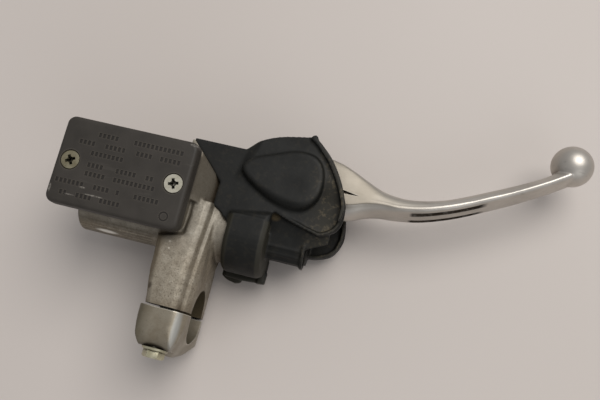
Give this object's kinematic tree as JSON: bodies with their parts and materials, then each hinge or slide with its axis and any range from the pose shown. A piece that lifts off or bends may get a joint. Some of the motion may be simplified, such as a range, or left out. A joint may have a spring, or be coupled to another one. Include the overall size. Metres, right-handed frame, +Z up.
{
  "type": "motorcycle brake master cylinder",
  "caption": "Right-hand front brake master cylinder for an off-road motorcycle, with a square reservoir, split handlebar clamp, ball-end lever and rubber dust cover.",
  "frame": {"origin": "centre of the handlebar bore, midway along the clamp", "axes": "+X along the handlebar towards the lever's ball end, +Y forward from the handlebar to the cylinder, +Z up along the lever's pivot"},
  "size_m": [0.2123, 0.128, 0.0514],
  "materials": {
    "cast_aluminium": "rough cast, weathered",
    "lever_aluminium": "worn satin",
    "cover_plastic": "matt, scratched",
    "black_rubber": "dull, dusty",
    "yellow_zinc": "pale yellow zinc plate",
    "dark_steel": "plain steel",
    "brass": "plain",
    "white_nylon": "plain"
  },
  "bodies": {
    "housing": {"master_cylinder_body": "cast_aluminium", "clamp_cap": "cast_aluminium", "clamp_bolt_upper": "yellow_zinc", "clamp_bolt_lower": "yellow_zinc", "reservoir_cover": "cover_plastic", "cover_screw_left": "yellow_zinc", "cover_screw_right": "yellow_zinc", "diaphragm_plate": "white_nylon", "reservoir_diaphragm": "black_rubber", "port_protector": "white_nylon", "return_spring": "dark_steel", "retaining_washer": "dark_steel", "snap_ring": "dark_steel", "piston_boot": "black_rubber", "pivot_bolt": "dark_steel", "pivot_nut": "dark_steel", "lever_dust_cover": "black_rubber"},
    "lever": {"brake_lever": "lever_aluminium", "adjuster_screw": "yellow_zinc", "adjuster_locknut": "yellow_zinc", "pivot_bushing": "brass"},
    "piston_assembly": {"piston": "brass", "primary_cup": "black_rubber", "secondary_cup": "black_rubber"}
  },
  "joints": [
    {"name": "lever_pivot", "type": "hinge", "parent": "housing", "child": "lever", "pos_m": [0.0344, 0.0628, 0], "axis": [0, 0, -1], "range_deg": [0, 18], "stiffness_Nm_per_rad": 1.5, "springref_deg": -14.32},
    {"name": "piston_slide", "type": "slide", "parent": "housing", "child": "piston_assembly", "axis": [-1, 0, 0], "range_m": [0, 0.0085], "deforming": ["return_spring", "piston_boot"]}
  ],
  "couplings": [
    {"joint": "piston_slide", "follows": "lever_pivot", "m_per_rad": 0.0263}
  ]
}
